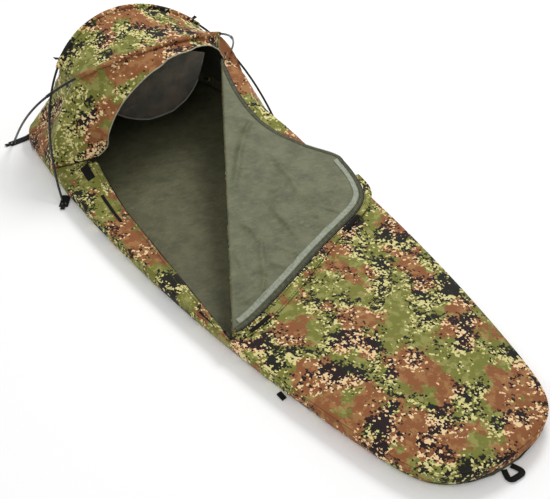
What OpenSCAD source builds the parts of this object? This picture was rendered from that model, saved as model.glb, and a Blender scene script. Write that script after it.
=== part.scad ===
// Hooped bivy sack, lying open with its door folded back over the right side.
// Millimetres, +Z up, +Y towards the head. The origin is on the ground under the middle of the bag.

/* [Bag] */
// Length of the bag from toe to head
bag_length = 2320; // [2200:10:2450]
// Width of the bag half way along
middle_width = 840; // [780:10:880]
// Width that the sides run out to at the head, before the corners are rounded
head_width = 800; // [760:10:840]
// Width that the sides run out to at the toe, before the corners are rounded
foot_width = 438; // [400:2:520]
// How square the corners of the bag are
corner_power = 24; // [16:2:32]
// Height of the side walls
wall_height = 57; // [50:1:62]
// Thickness of every fabric panel
cloth = 2; // [1.6:0.2:2.4]

/* [Door] */
// How far the open door slopes down from its fold, in degrees
door_tilt = 12; // [11:1:13]
// Half of the gap that the folded cloth leaves at the fold
fold_gap = 4; // [3:0.5:5]
// Width of the zip tape
zip_tape_w = 13; // [10:1:16]
// Radius of the zip coil
coil_r = 2.4; // [2:0.2:2.8]

/* [Hood] */
// Outside diameter of a pole section
pole_d = 8.5; // [8:0.5:10.5]
// Bore of a pole section
pole_bore = 5.5; // [5:0.5:7]
// Outside radius of the sleeve that holds a pole
sleeve_r = 9; // [8.6:0.2:9.6]
// Angle along each hoop at which its sleeve starts
sleeve_from = 54; // [50:1:58]

/* [Webbing] */
// Width of the webbing of the corner straps
strap_w = 32; // [26:1:34]
// Thickness of the webbing
strap_t = 2; // [1.6:0.2:2.4]
// Bore of the eyelets that the pole tips stand in
eyelet_bore = 8.4; // [8.2:0.1:9]

/* [Hidden] */
$fn = 48;

half_l = bag_length / 2;
pole_r = pole_d / 2;
cloth_gap = 1.5;
camo = "#8a8454";
lining = "#6f7562";
black = "#1b1b1b";
pale = "#a7ae98";

// ---------- outlines ----------

// Half width of the bag at y: two straight tapers bowed outwards, with rounded ends.
side_taper = (head_width - foot_width) / 2 / bag_length;
side_bow = (middle_width - (head_width + foot_width) / 2) / 2 / pow(half_l, 2);
function half_w(y) =
    (middle_width / 2 + side_taper * y - side_bow * y * y)
    * sqrt(max(0, 1 - pow(abs(y) / half_l, corner_power)));

// Stations from a to b, both included.
function steps(a, b, n) = [for (i = [0:n]) a + (b - a) * i / n];

// Stations that close up towards the toe, where the outline turns quickly.
function toe_steps(from, n) = [for (i = [0:n]) from + (-half_l - from) * sin(90 * i / n)];

// The outline along one side (side is -1 left, 1 right), moved in by inset.
function side_line(ys, side, inset = 0) = [for (y = ys) [side * max(half_w(y) - inset, 0), y]];

// ---------- points, curves and sheets ----------

function unit(v) = v / norm(v);
function mix(a, b, t) = a + (b - a) * t;
function reversed(list) = [for (i = [len(list) - 1:-1:0]) list[i]];

// A smooth curve through hand-placed points, with n steps to a span.
function through(pts, n) = [
    for (i = [0:len(pts) - 2], k = [0:n - 1])
        let (a = pts[max(i - 1, 0)], b = pts[i], c = pts[i + 1], d = pts[min(i + 2, len(pts) - 1)], t = k / n)
        0.5 * (2 * b + (c - a) * t + (2 * a - 5 * b + 4 * c - d) * t * t + (3 * b - a - 3 * c + d) * t * t * t),
    pts[len(pts) - 1]];

// Faces of a closed block whose rows run round it and whose columns run along it.
function grid_quads(rows, cols, wrap) = [
    for (i = [0:rows - 2], j = [0:cols - (wrap ? 1 : 2)])
        [i * cols + j, i * cols + (j + 1) % cols, (i + 1) * cols + (j + 1) % cols, (i + 1) * cols + j]];

// The direction square to a grid of points at row i, column j.
function grid_normal(grid, i, j) =
    let (rows = len(grid), cols = len(grid[0]))
    unit(cross(
        grid[min(i + 1, rows - 1)][j] - grid[max(i - 1, 0)][j],
        grid[i][min(j + 1, cols - 1)] - grid[i][max(j - 1, 0)]));

// A sheet of cloth: the grid of points is one face, and the other lies t behind it.
module sheet(grid, t = cloth) {
    rows = len(grid);
    cols = len(grid[0]);
    n = rows * cols;
    front = [for (r = grid, p = r) p];
    back = [for (i = [0:rows - 1], j = [0:cols - 1]) grid[i][j] - t * grid_normal(grid, i, j)];
    quads = grid_quads(rows, cols, false);
    edge = concat(
        [for (j = [0:cols - 2]) [j, j + 1]],
        [for (i = [0:rows - 2]) [i * cols + cols - 1, (i + 1) * cols + cols - 1]],
        [for (j = [cols - 1:-1:1]) [(rows - 1) * cols + j, (rows - 1) * cols + j - 1]],
        [for (i = [rows - 1:-1:1]) [i * cols, (i - 1) * cols]]);
    faces = concat(
        [for (q = quads) each [[q[0], q[1], q[2]], [q[0], q[2], q[3]]]],
        [for (q = quads) each [[n + q[2], n + q[1], n + q[0]], [n + q[3], n + q[2], n + q[0]]]],
        [for (e = edge) each [[e[1], e[0], n + e[0]], [e[1], n + e[0], n + e[1]]]]);
    polyhedron(concat(front, back), faces);
}

// Rings of points round a path, for a tube of radius r; side_dir is roughly square to the path.
function tube_rings(path, r, sides, side_dir) = [
    for (i = [0:len(path) - 1])
        let (
            t = unit(path[min(i + 1, len(path) - 1)] - path[max(i - 1, 0)]),
            a = unit(side_dir - t * (side_dir * t)),
            b = cross(t, a))
        for (k = [0:sides - 1]) path[i] + r * (cos(360 * k / sides) * a + sin(360 * k / sides) * b)];

// A round rod along a path.
module rod(path, r, side_dir, sides = 10) {
    rows = len(path);
    polyhedron(
        tube_rings(path, r, sides, side_dir),
        concat(
            [[for (k = [0:sides - 1]) k]],
            [for (q = grid_quads(rows, sides, true)) reversed(q)],
            [[for (k = [sides - 1:-1:0]) (rows - 1) * sides + k]]));
}

// A round tube along a path, open at both ends.
module hollow_rod(path, r_out, r_in, side_dir, sides = 10) {
    rows = len(path);
    n = rows * sides;
    last = (rows - 1) * sides;
    quads = grid_quads(rows, sides, true);
    rim = [for (k = [0:sides - 1]) let (m = (k + 1) % sides) [k, m, n + m, n + k]];
    polyhedron(
        concat(tube_rings(path, r_out, sides, side_dir), tube_rings(path, r_in, sides, side_dir)),
        concat(
            [for (q = quads) reversed(q)],
            [for (q = quads) [for (v = q) n + v]],
            rim,
            [for (q = rim) [for (v = reversed(q)) v + last]]));
}

// ---------- bag ----------

toe_y = -900;
head_y = 1000;

// A wall that follows the outline over the given stations.
module side_wall(ys, side) {
    translate([0, 0, cloth])
        linear_extrude(wall_height - cloth)
            polygon(concat(side_line(ys, side), reversed(side_line(ys, side, cloth))));
}

// A wall that goes round the end of the bag.
module end_wall(ys) {
    outside = concat(side_line(ys, -1), reversed(side_line(ys, 1)));
    inside = [for (y = ys) [max(half_w(y) - cloth, 0), y * (1 - cloth / half_l)]];
    translate([0, 0, cloth])
        linear_extrude(wall_height - cloth)
            polygon(concat(
                outside,
                inside,
                reversed([for (p = inside) [-p[0], p[1]]])));
}

module groundsheet() {
    ys = concat(reversed(toe_steps(toe_y, 14)), steps(toe_y + 100, head_y - 50, 18),
        [for (i = [0:14]) head_y + (half_l - head_y) * sin(90 * i / 14)]);
    color(lining)
        linear_extrude(cloth)
            polygon(concat(side_line(ys, -1), reversed(side_line(ys, 1))));
}

module left_wall() {
    color(camo)
        side_wall(steps(toe_y + cloth_gap, head_y - cloth_gap, 20), -1);
}

module right_wall() {
    color(camo)
        side_wall(steps(toe_y + cloth_gap, head_y - cloth_gap, 20), 1);
}

module toe_wall() {
    color(camo)
        end_wall(toe_steps(toe_y, 16));
}

module head_wall() {
    color(camo)
        end_wall([for (i = [0:16]) head_y + (half_l - head_y) * sin(90 * i / 16)]);
}

// ---------- door fold ----------

// The fold runs from the foot end of the side zip up to the right end of the hood's rim.
fold_foot = [-360, -375, wall_height + 5];
fold_head = [300, 726, wall_height + 240];
fold_length = norm(fold_head - fold_foot);
fold_dir = unit(fold_head - fold_foot);
fold_level = unit(cross(fold_dir, [0, 0, 1]));
fold_up = cross(fold_level, fold_dir);
door_out = cos(door_tilt) * fold_level - sin(door_tilt) * fold_up;
door_up = cross(door_out, fold_dir);

// Height of the plane that the open door lies in, at x and y.
function door_plane(x, y) =
    fold_foot[2] - (door_up[0] * (x - fold_foot[0]) + door_up[1] * (y - fold_foot[1])) / door_up[2];

// Where the fold is, in x, at y.
function fold_x(y) =
    mix(fold_foot[0], fold_head[0], (y - fold_foot[1]) / (fold_head[1] - fold_foot[1]));

// The cover lies flat over the legs and rises under the door to the fold, falling to the right wall.
cover_fall = 1.9;
cover_end = fold_head[1] - 12;
function cover_z(x, y) =
    wall_height + cloth
    + max(0, min(door_plane(x, y) - 2 * fold_gap - wall_height - cloth, cover_fall * (half_w(y) - x)));

// Left edge of the cover: the left wall over the legs, and the fold beside the door.
function cover_left(y) = y < fold_foot[1] ? -half_w(y) : fold_x(y) + 3;

module top_cover() {
    ys = concat(steps(cover_end, fold_foot[1], 20), steps(fold_foot[1] - 5, toe_y, 6), toe_steps(toe_y, 9));
    shares = [0, 0.08, 0.17, 0.27, 0.38, 0.5, 0.6, 0.7, 0.8, 0.88, 0.94, 1];
    color(camo)
        sheet([
            for (y = [for (v = ys) max(v, -half_l + 1)])
                [for (s = shares)
                    let (x = mix(cover_left(y), half_w(y), s))
                    [x, y, cover_z(x, y)]]]);
}

// ---------- side zip ----------

zip_straight_to = 367;
zip_top_y = 636;
zip_lean = 0.0568;

// The outer edge of the side zip's tape, in x: straight beside the legs, then turning in to the hood.
function zip_x(y) =
    -349 - zip_lean * (zip_straight_to - min(y, zip_straight_to))
    + 0.12 * max(0, y - zip_straight_to);

function zip_z(y) = wall_height + cloth + 40 * pow(max(0, (y - 300) / 340), 2);

function border_z(x, y) =
    mix(wall_height + cloth, zip_z(y), pow((x + half_w(y)) / (zip_x(y) + half_w(y)), 2));

// Past the zip's top the border narrows along the foot of the hood.
border_end_y = 738;
function border_in(y) =
    y <= zip_top_y ? zip_x(y) - cloth_gap
    : mix(zip_x(zip_top_y) - cloth_gap, -half_w(y) + 6, (y - zip_top_y) / (border_end_y - zip_top_y));

module left_border() {
    ys = concat(steps(border_end_y, zip_top_y + 20, 4), steps(zip_top_y, fold_foot[1] + 2, 20));
    color(camo)
        sheet([
            for (y = ys)
                [for (s = [0, 0.35, 0.7, 1])
                    let (x = mix(-half_w(y), border_in(y), s))
                    [x, y, border_z(x, min(y, zip_top_y)) + 1.2 - (y > zip_top_y ? 6 : 0) * s * s]]]);
}

module bag_zip_tape() {
    ys = steps(zip_top_y, fold_foot[1] + 2, 20);
    color(pale)
        sheet([for (y = ys) [[zip_x(y), y, zip_z(y)], [zip_x(y) + zip_tape_w, y, zip_z(y)]]], 1);
}

coil_in = zip_tape_w + coil_r + 0.7;
function coil_pt(y) = [zip_x(y) + coil_in, y, zip_z(y) - 0.5];

module bag_zip_coil() {
    color(black)
        rod([for (y = steps(fold_foot[1] + 2, zip_top_y, 22)) coil_pt(y)], coil_r, [0, 0, 1], 8);
}

// The slider is parked at the foot end of the zip and runs up the straight part of the coil.
slider_l = 16;
slider_at = coil_pt(fold_foot[1] + 30);
slide_dir = unit([zip_lean, 1, 0]);

module at_slider() {
    translate(slider_at)
        rotate([0, 0, -atan(zip_lean)])
            children();
}

module zip_slider() {
    channel = coil_r + 0.7;
    color(black)
        at_slider() {
            difference() {
                translate([-6, -slider_l / 2, -5])
                    cube([12, slider_l, 10]);
                rotate([-90, 0, 0])
                    cylinder(r = channel, h = slider_l + 2, center = true);
                translate([-7, -slider_l / 2 - 1, -1])
                    cube([7, slider_l + 2, 3]);
            }
            for (end = [-4, 4])
                translate([-1.5, end - 1, 5])
                    cube([3, 2, 4.5]);
            translate([-1.5, -5, 9.5])
                cube([3, 10, 1.5]);
        }
}

// The pull hangs on the bail by a closed loop and turns about the middle of that loop's end.
pull_pivot = slider_at + [0, 0, 7.2];
pull_l = 26;
pull_w = 6.4;

module zip_pull() {
    color(black)
        translate(pull_pivot)
            rotate([0, 0, -atan(zip_lean)])
                difference() {
                    translate([-pull_w / 2, 0.9 - pull_l, -1])
                        cube([pull_w, pull_l, 2]);
                    translate([-2.2, -7.4, -2])
                        cube([4.4, 6.5, 4]);
                }
}

// Each strip is its middle along the side, its half length, and its two shares across the border.
rim_strips = [[-268, 42, 0.25, 0.8], [395, 85, 0.66, 0.76], [608, 30, 0.68, 0.82]];

module rim_hook_strips() {
    color(black)
        for (k = rim_strips)
            sheet([
                for (v = steps(k[0] + k[1], k[0] - k[1], 4))
                    [for (w = [k[2], k[3]])
                        let (x = mix(-half_w(v), zip_x(v), w))
                        [x, v, border_z(x, v) + 3.9]]], 1.4);
}

// ---------- seams and small webbing ----------

module seam_piping() {
    out = 3;
    ys = concat(steps(cover_end - 120, toe_y + 50, 20), toe_steps(toe_y, 16));
    right = [for (y = ys) [half_w(y) + out, max(y, -half_l) - (y < toe_y ? out : 0), wall_height - 2]];
    left = [for (p = reversed(right)) if (p[1] < fold_foot[1] && p[0] > 20) [-p[0], p[1], p[2]]];
    color(camo)
        rod(concat([for (p = right) if (p[0] > 20) p], left), 2, [0, 0, 1], 6);
}

// A short doubled piece of webbing, sewn flat, that a peg or a cord is tied to.
module side_tab(side) {
    y = -606;
    color(black)
        translate([side * (half_w(y) + 9.8), y, 3])
            rotate([0, 0, side * -5])
                cube([16, 30, 2 * strap_t], center = true);
}

module side_tab_left() side_tab(-1);
module side_tab_right() side_tab(1);

// A webbing loop at the toe for a ground peg.
loop_hinge = [0, -half_l - 2, 5];

module toe_peg_loop() {
    out = [[-9, 0], [9, 0], [22, -30], [14, -38], [-14, -38], [-22, -30]];
    in = [[-3, -8], [3, -8], [9, -28], [-9, -28]];
    color(black)
        translate(loop_hinge - [0, 0.5, strap_t / 2])
            linear_extrude(strap_t)
                difference() {
                    polygon(out);
                    polygon(in);
                }
}

// ---------- hoops ----------

// A hoop: half span, y of its feet, lean, height along its plane, belly and squareness.
front_hoop = [457, 1075, -40.85, 601, 0.166, 0.637];
rear_hoop = [466, 595, 38.6, 616, 0.147, 1.274];

// A point on a hoop at angle a from its right foot, on a hoop made smaller by inset.
function hoop_pt(hoop, a, inset = 0) =
    let (s = max(sin(a), 0), r = (hoop[3] - inset) * pow(s, hoop[5]))
    [(hoop[0] - inset) * cos(a) * (1 + hoop[4] * s * s), hoop[1] + r * sin(hoop[2]), r * cos(hoop[2])];

function hoop_arc(hoop, a, b, n, inset = 0) = [for (t = steps(a, b, n)) hoop_pt(hoop, t, inset)];
function hoop_axis(hoop) = [0, cos(hoop[2]), -sin(hoop[2])];

// The angle at which a hoop is at height z, and the angles at which the rods of its pole meet.
tip_z = 10;
function angle_at(hoop, z) = asin(pow(z / (hoop[3] * cos(hoop[2])), 1 / hoop[5]));
function rod_ends(hoop) =
    let (low = angle_at(hoop, tip_z)) [low, 38, 90, 142, 180 - low];

module pole(hoop) {
    color(black)
        for (i = [0:3])
            hollow_rod(hoop_arc(hoop, rod_ends(hoop)[i] + 0.1, rod_ends(hoop)[i + 1] - 0.1, 11),
                pole_r, pole_bore / 2, hoop_axis(hoop), 8);
}

module ferrules(hoop) {
    color("#2a2c2a")
        for (i = [1:3])
            hollow_rod(hoop_arc(hoop, rod_ends(hoop)[i] - 2.5, rod_ends(hoop)[i] + 2.5, 3),
                pole_r + 1.7, pole_r + 0.9, hoop_axis(hoop), 8);
}

module shock_cord(hoop) {
    color("#d8d8d0")
        rod(hoop_arc(hoop, rod_ends(hoop)[0] + 0.1, rod_ends(hoop)[4] - 0.1, 44), 1.4, hoop_axis(hoop), 5);
}

// The tips are plastic plugs that stand in the eyelets of the corner straps.
module pole_tips(hoop) {
    shoulder_z = 5.6;
    color(black)
        for (side = [-1, 1])
            translate([side * hoop[0], hoop[1], 0]) {
                translate([0, 0, 0.6])
                    cylinder(d = eyelet_bore - 0.8, h = shoulder_z);
                translate([0, 0, shoulder_z])
                    cylinder(r = pole_r + 0.6, h = tip_z - shoulder_z - 0.4);
            }
}

module front_pole() pole(front_hoop);
module rear_pole() pole(rear_hoop);
module front_pole_ferrules() ferrules(front_hoop);
module rear_pole_ferrules() ferrules(rear_hoop);
module front_pole_cord() shock_cord(front_hoop);
module rear_pole_cord() shock_cord(rear_hoop);
module front_pole_tips() pole_tips(front_hoop);
module rear_pole_tips() pole_tips(rear_hoop);

module sleeve(hoop) {
    color(camo)
        hollow_rod(hoop_arc(hoop, sleeve_from, 180 - sleeve_from, 20),
            sleeve_r, sleeve_r - 1.4, hoop_axis(hoop), 8);
}

module front_sleeve() sleeve(front_hoop);
module rear_sleeve() sleeve(rear_hoop);

// ---------- corner straps ----------

// A strap from the edge of the bag to a pole foot, with the end folded back on itself.
module corner_strap(from, foot) {
    along = foot - from;
    reach = norm(along);
    color(black)
        translate([from[0], from[1], 1])
            rotate([0, 0, atan2(along[1], along[0])])
                difference() {
                    union() {
                        translate([0, -strap_w / 2, 0])
                            cube([reach + 16, strap_w, strap_t]);
                        translate([reach + 17, -7, 0])
                            cube([15, 14, 3 * strap_t]);
                        translate([reach + 15, -7, 0])
                            cube([3, 14, strap_t]);
                    }
                    translate([reach, 0, -1])
                        cylinder(d = eyelet_bore + 2, h = strap_t + 2);
                }
}

front_foot = [rear_hoop[0], rear_hoop[1]];
rear_foot = [front_hoop[0], front_hoop[1]];
front_strap_from = [half_w(620) + 13.5, 616];
rear_strap_from = [half_w(1075) + 14, 1080];

module strap_front_left() corner_strap([-front_strap_from[0], front_strap_from[1]], [-front_foot[0], front_foot[1]]);
module strap_front_right() corner_strap(front_strap_from, front_foot);
module strap_rear_left() corner_strap([-rear_strap_from[0], rear_strap_from[1]], [-rear_foot[0], rear_foot[1]]);
module strap_rear_right() corner_strap(rear_strap_from, rear_foot);

module eyelets() {
    color("silver")
        for (side = [-1, 1], foot = [front_foot, rear_foot])
            translate([side * foot[0], foot[1], 0])
                difference() {
                    union() {
                        translate([0, 0, 0.3])
                            cylinder(r = 8, h = 0.7);
                        translate([0, 0, 0.3])
                            cylinder(d = eyelet_bore + 1.8, h = 3.4);
                        translate([0, 0, 1 + strap_t])
                            cylinder(r = 8, h = 0.7);
                    }
                    translate([0, 0, -1])
                        cylinder(d = eyelet_bore, h = 8);
                }
}

// ---------- hood ----------

side_cols = 8;
arc_cols = 16;
cloth_inset = sleeve_r + 3;

// One arch of hood cloth, from its right foot to its left: up to the sleeve, over, and down.
function hood_arch(hoop, foot, bend) =
    let (
        right = hoop_pt(hoop, sleeve_from, cloth_inset),
        left = hoop_pt(hoop, 180 - sleeve_from, cloth_inset),
        right_foot = [foot[0], foot[1], foot[2]],
        left_foot = [-foot[0], foot[1], foot[2]],
        rise = [for (i = [0:side_cols - 1]) i / side_cols])
    concat(
        [for (t = rise) side_curve(right_foot, right, bend, t)],
        hoop_arc(hoop, sleeve_from, 180 - sleeve_from, arc_cols, cloth_inset),
        [for (t = reversed(rise)) side_curve(left_foot, left, [-bend[0], bend[1], bend[2]], t)]);

function side_curve(foot, top, bend, t) = foot * pow(1 - t, 2) + bend * 2 * t * (1 - t) + top * t * t;

hood_cols = 2 * side_cols + arc_cols;
hood_foot_z = wall_height + cloth + 1;
// The side swells over the pole in front, and is drawn in to a hollow between the sleeve and the corner behind.
front_arch = hood_arch(front_hoop, [half_w(740) - 3, 745, hood_foot_z], [395, 741.7, 290]);
rear_arch = hood_arch(rear_hoop, [half_w(1020) - 10, 1022, hood_foot_z], [285, 900, 165]);

// The free rim of the hood, from the right wall up to the door fold, over, and down to the side zip.
rim_curve = through([
    [428, 736, hood_foot_z], [375, 734, 190], [306, 730, 296], [268, 704, 350], [205, 668, 402],
    [110, 626, 432], [0, 603, 434], [-110, 602, 386], [-200, 612, 300], [-250, 622, 205],
    [-302, 644, 106]], 4);

// A point a share s of the way along a polyline that has evenly numbered points.
function along(line, s) =
    let (k = min(s, 0.9999) * (len(line) - 1), i = floor(k))
    mix(line[i], line[i + 1], k - i);

rim_arch = [for (i = [0:hood_cols]) along(rim_curve, i / hood_cols)];

// Rows of cloth between two arches, with a seam gap at each arch that the next panel meets.
// Sag pulls the middle rows towards the hood's inside.
hood_heart = [0, 830, 150];
seam_gap = 2.2;
function rows_between(a, b, n, sag = 0, seam = seam_gap) = [
    for (i = [0:n])
        [for (j = [0:len(a) - 1])
            let (
                gap = min(0.3, seam / norm(b[j] - a[j])),
                t = mix(gap, 1 - gap, i / n),
                p = mix(a[j], b[j], t))
            p + sag * 4 * t * (1 - t) * unit(hood_heart - p)]];

// Columns a to b of a grid, with a narrow seam gap left at each end that another panel meets.
function columns(grid, a, b) = [
    for (r = grid)
        [for (j = [a:b])
            j == a && a > 0 ? mix(r[a], r[a + 1], 0.04)
            : j == b && b < len(r) - 1 ? mix(r[b], r[b - 1], 0.04)
            : r[j]]];

module hood_visor() {
    color(camo)
        sheet(rows_between(rim_arch, front_arch, 5, 4));
}

main_rows = rows_between(front_arch, rear_arch, 5, 6, 3.6);

module hood_roof() {
    color(camo)
        sheet(columns(main_rows, side_cols, side_cols + arc_cols));
}

module hood_side_right() {
    color(camo)
        sheet(columns(main_rows, 0, side_cols));
}

module hood_side_left() {
    color(camo)
        sheet(columns(main_rows, side_cols + arc_cols, hood_cols));
}

// The back of the hood comes down in a rounded fall to the head wall.
function tail_arch(foot_x, foot_y, top_y, top_z, squareness) = [
    for (i = [0:hood_cols])
        let (a = 180 * i / hood_cols, f = pow(sin(a), squareness))
        [foot_x * cos(a), mix(foot_y, top_y, f), mix(hood_foot_z, top_z, f)]];

// An arch that lies on top of the head wall, drawn in from the bag's outline by inset.
function head_arch(foot_x, inset, z) =
    let (full = middle_width / 2 + side_taper * 1100 - side_bow * 1100 * 1100)
    [for (i = [0:hood_cols])
        let (x = foot_x * cos(180 * i / hood_cols))
        [x, half_l * pow(1 - pow(x / full, 2), 1 / corner_power) - inset, z]];

module hood_rear() {
    middle = tail_arch(half_w(1080) - 6, 1082, 1098, 250, 1.5);
    low = head_arch(338, 6, hood_foot_z + 1);
    color(camo)
        sheet(concat(rows_between(rear_arch, middle, 3, 4), rows_between(middle, low, 3, -2)));
}

// Narrow binding along the rim of the visor.
module rim_binding() {
    color(pale)
        rod([for (i = [2:hood_cols]) rim_arch[i] + [0, -4, -1]], 2, [0, 1, 0], 6);
}

// Three-cornered panels that carry the rear straps out from the bag.
module corner_gusset(side) {
    foot = [half_w(1000) + 5, 1000];
    reach = rear_strap_from - [3, 0] - foot;
    color(camo)
        translate([side * foot[0], foot[1], 4])
            rotate([90, 0, atan2(reach[1], side * reach[0])])
                linear_extrude(cloth, center = true)
                    polygon([[0, 0], [norm(reach), 0], [0, wall_height - 8]]);
}

module corner_gusset_left() corner_gusset(-1);
module corner_gusset_right() corner_gusset(1);

// Doubled webbing tabs on the ends of the rear sleeve, for guy lines.
module guy_tab(side) {
    at = hoop_pt(rear_hoop, sleeve_from + 3, -sleeve_r - 6);
    color(black)
        translate([side * at[0], at[1], at[2]])
            rotate([0, side * 40, 0])
                cube([18, 16, 2 * strap_t], center = true);
}

module guy_tab_left() guy_tab(-1);
module guy_tab_right() guy_tab(1);

// ---------- door ----------

// Puts its children in the plane of the open door: X runs along the fold, Y out from it.
module in_door_plane(lift) {
    at = fold_foot + door_up * lift;
    multmatrix([
        [fold_dir[0], door_out[0], -door_up[0], at[0]],
        [fold_dir[1], door_out[1], -door_up[1], at[1]],
        [fold_dir[2], door_out[2], -door_up[2], at[2]],
        [0, 0, 0, 1]])
        children();
}

// The door's outline: a straight edge to the free corner, then a hollow edge back to the fold.
edge_pts = [
    [6, 0], [40, 44], [122, 113], [255, 214], [346, 280], [430, 345], [500, 402], [559, 448], [602, 473],
    [646, 485], [690, 481], [742, 465], [802, 434], [842, 400], [880, 275], [960, 145], [1102, 60],
    [fold_length - 8, 0]];
door_edge = through(edge_pts, 4);

// The door drawn in from its free edge by inset; it is cut off square to the fold.
module door_shape(inset) {
    difference() {
        offset(delta = -inset)
            polygon(concat(door_edge, [[fold_length + 100, 0], [fold_length + 100, -200], [-100, -200], [-100, 0]]));
        translate([-300, -500])
            square([2000, 500]);
    }
}

// A band that runs along the door's free edge, between two insets.
module door_band(from, to, clear = 4) {
    difference() {
        door_shape(from);
        door_shape(to);
        translate([-300, -500])
            square([2000, 500 + clear]);
    }
}

module door_flap() {
    color(lining)
        in_door_plane(fold_gap + cloth)
            linear_extrude(cloth)
                door_shape(zip_tape_w + 2 * coil_r);
}

module door_zip_tape() {
    color("#4c5140")
        in_door_plane(fold_gap + cloth)
            linear_extrude(cloth)
                door_band(2 * coil_r + 0.6, zip_tape_w + 2 * coil_r - 0.6);
}

module door_zip_coil() {
    color(black)
        in_door_plane(fold_gap + cloth + 0.6)
            linear_extrude(cloth + 1)
                door_band(0.4, 2 * coil_r);
}

module door_seam_tape() {
    color(pale)
        in_door_plane(fold_gap + cloth + 0.9)
            linear_extrude(0.8)
                difference() {
                    door_band(zip_tape_w + 2 * coil_r + 3, zip_tape_w + 2 * coil_r + 19);
                    translate([840, -50])
                        square([600, 900]);
                }
}

// A strip of cover cloth that laps the zip from outside. It lies flat outside the folded door, and where the door's
// plane dips below the cover it rests on the cover instead. Both lines are in the door's plane, along and out.
storm_widths = [30, 36, 42, 36, 28, 22, 20, 20, 22, 28, 30, 14];

function beyond_edge(i, d) =
    let (t = unit(edge_pts[i + 1] - edge_pts[max(i - 1, 0)]))
    edge_pts[i] + d * [-t[1], t[0]];

storm_inner = through([for (i = [0:len(storm_widths) - 1]) beyond_edge(i, 2.6)], 3);
storm_outer = through([for (i = [0:len(storm_widths) - 1]) beyond_edge(i, storm_widths[i])], 3);

function on_storm(i, share, lift) =
    let (
        k = floor(min(i, len(storm_inner) - 1.001)),
        a = mix(storm_inner[k], storm_inner[k + 1], i - k),
        b = mix(storm_outer[k], storm_outer[k + 1], i - k),
        at = mix(a, b, share),
        p = fold_foot + at[0] * fold_dir + at[1] * door_out + (fold_gap + cloth) * door_up)
    [p[0], p[1], max(p[2], wall_height + cloth + 2 * cloth + 0.3)] + lift * door_up;

module door_storm_strip() {
    color(camo)
        sheet([for (i = steps(0, len(storm_inner) - 1, 36)) [for (w = steps(1, 0, 3)) on_storm(i, w, 0)]]);
}

// Each strip of hooks runs between two places along the storm strip, and two shares of its width.
module door_hook_strips() {
    color(black)
        for (k = [[2.4, 5.2, 0.80, 0.42], [16.8, 20.5, 0.85, 0.25]])
            sheet([for (i = steps(k[0], k[1], 5)) [for (w = [k[2], k[3]]) on_storm(i, w, 1.6)]], 1.3);
}

// ---------- insect net ----------

net_top = [0, 668, 424];

// The net hangs inside the hood from its roof, unzipped, with its free edge low and curved.
function net_pt(s, t) =
    let (
        x = 190 * s,
        top = net_top[2] - (s > 0 ? 45 : 130) * s * s,
        low = 136 + (s > 0 ? 104 * pow(s, 3) : 100 * s * s))
    [x, net_top[1] + 62 * t, mix(top, low, t)];

module insect_net() {
    color("#5f5a4e")
        sheet([for (t = steps(0, 0.985, 6)) [for (s = steps(1, -1, 16)) net_pt(s, t)]], 1);
}

module net_binding() {
    color(pale)
        rod([for (s = steps(-1, 1, 20)) net_pt(s, 1) - [0, 0, 3.2]], 2, [0, 1, 0], 6);
}

// ---------- nodes ----------

groundsheet();
left_wall();
right_wall();
toe_wall();
head_wall();
top_cover();
left_border();
seam_piping();
hood_visor();
hood_roof();
hood_side_left();
hood_side_right();
hood_rear();
rim_binding();
corner_gusset_left();
corner_gusset_right();
front_sleeve();
rear_sleeve();
guy_tab_left();
guy_tab_right();
front_pole();
rear_pole();
front_pole_ferrules();
rear_pole_ferrules();
front_pole_cord();
rear_pole_cord();
front_pole_tips();
rear_pole_tips();
strap_front_left();
strap_front_right();
strap_rear_left();
strap_rear_right();
eyelets();
bag_zip_tape();
bag_zip_coil();
rim_hook_strips();
side_tab_left();
side_tab_right();
zip_slider();
zip_pull();
door_flap();
door_seam_tape();
door_zip_tape();
door_zip_coil();
door_storm_strip();
door_hook_strips();
insect_net();
net_binding();
toe_peg_loop();
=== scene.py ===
import math

import bpy
import numpy as np
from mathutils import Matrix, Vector


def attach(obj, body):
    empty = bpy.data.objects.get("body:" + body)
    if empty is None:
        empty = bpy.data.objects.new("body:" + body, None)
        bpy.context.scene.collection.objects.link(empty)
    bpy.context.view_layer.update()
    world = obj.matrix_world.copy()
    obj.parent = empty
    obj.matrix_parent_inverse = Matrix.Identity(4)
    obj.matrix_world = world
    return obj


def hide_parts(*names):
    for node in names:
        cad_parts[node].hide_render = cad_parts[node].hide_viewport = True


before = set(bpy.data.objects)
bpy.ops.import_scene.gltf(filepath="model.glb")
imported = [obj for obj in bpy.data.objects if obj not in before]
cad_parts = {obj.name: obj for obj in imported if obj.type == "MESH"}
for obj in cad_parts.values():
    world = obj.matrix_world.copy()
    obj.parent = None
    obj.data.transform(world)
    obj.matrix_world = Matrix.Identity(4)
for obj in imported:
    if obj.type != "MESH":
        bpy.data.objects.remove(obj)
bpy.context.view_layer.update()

# Metres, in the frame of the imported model: +Z up, +Y towards the head, origin on the ground.
BAG, DOOR, NET, LOOP = "bag", "door", "net", "toe_loop"


# ---------- camera, floor and light ----------

camera = bpy.data.objects.new("camera", bpy.data.cameras.new("camera"))
bpy.context.scene.collection.objects.link(camera)
camera.location = (-1.453, -2.175, 2.112)
AIM = Vector((0.014, -0.046, 0.0))
camera.rotation_euler = (AIM - camera.location).to_track_quat("-Z", "Y").to_euler()
camera.data.sensor_width = 36
camera.data.lens = 64.3
camera.data.clip_end = 60
bpy.context.scene.camera = camera
bpy.context.scene.view_settings.view_transform = "Standard"


def area_light(name, at, size, power, aim=(0, 0, 0.1)):
    data = bpy.data.lights.new(name, "AREA")
    data.shape, data.size, data.energy = "DISK", size, power
    light = bpy.data.objects.new(name, data)
    bpy.context.scene.collection.objects.link(light)
    light.location = at
    light.rotation_euler = (Vector(aim) - light.location).to_track_quat("-Z", "Y").to_euler()


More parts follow.
